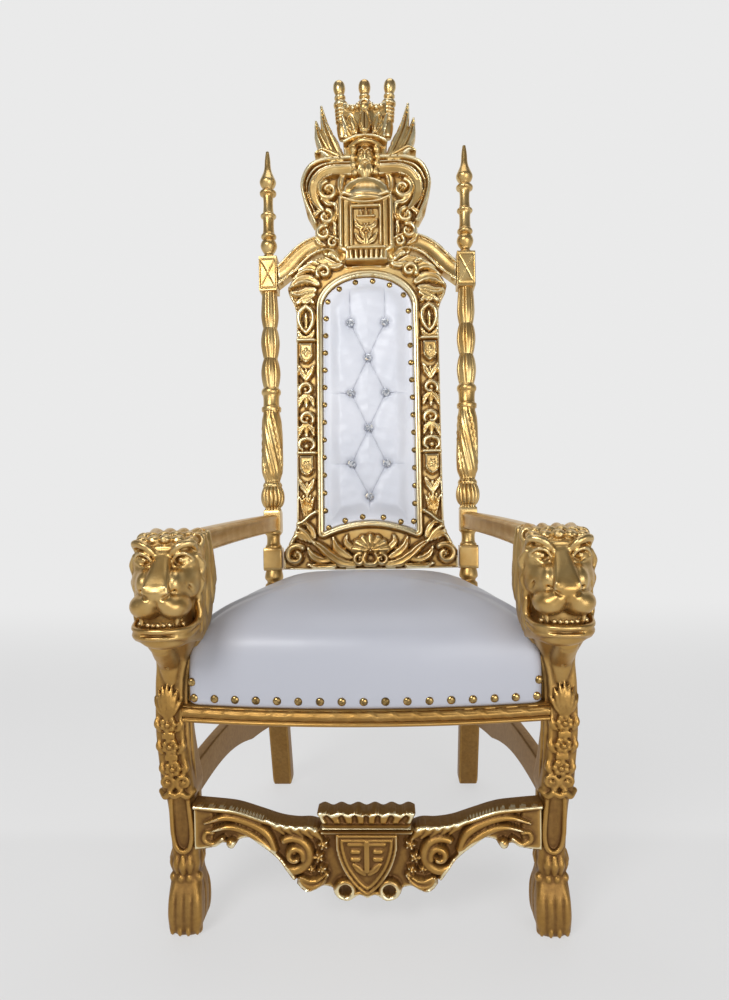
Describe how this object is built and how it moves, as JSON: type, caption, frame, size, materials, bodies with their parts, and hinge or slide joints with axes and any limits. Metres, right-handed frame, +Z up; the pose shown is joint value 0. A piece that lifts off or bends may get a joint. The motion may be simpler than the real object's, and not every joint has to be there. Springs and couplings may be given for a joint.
{
  "type": "throne",
  "caption": "High-backed ceremonial throne: arms end in lion heads over paw-footed legs, turned back posts, crowned carved crest, domed seat, tufted back panel",
  "frame": {"origin": "on the floor, under the middle of the whole throne's bounding box", "axes": "+X to the right of someone who faces the throne, +Y from the front to the back, +Z up"},
  "size_m": [0.752, 0.822, 1.8149],
  "materials": {
    "gilt": "carved hardwood in antique gold leaf, brown glaze in the recesses",
    "upholstery": "white leatherette over foam",
    "button": "clear faceted tufting button with a silver back"
  },
  "bodies": {
    "root": {"front_leg_left": "gilt", "front_leg_right": "gilt", "arm_left": "gilt", "arm_right": "gilt", "back_post_left": "gilt", "back_post_right": "gilt", "seat_rail_front": "gilt", "seat_rail_left": "gilt", "seat_rail_right": "gilt", "seat_rail_rear": "gilt", "side_stretcher_left": "gilt", "side_stretcher_right": "gilt", "front_stretcher": "gilt", "back_frame": "gilt", "crest_rail": "gilt", "back_cushion": "upholstery", "seat_cushion": "upholstery", "back_button_1": "button", "back_button_2": "button", "back_button_3": "button", "back_button_4": "button", "back_button_5": "button", "back_button_6": "button", "back_button_7": "button", "back_button_8": "button", "back_button_9": "button"}
  },
  "joints": []
}
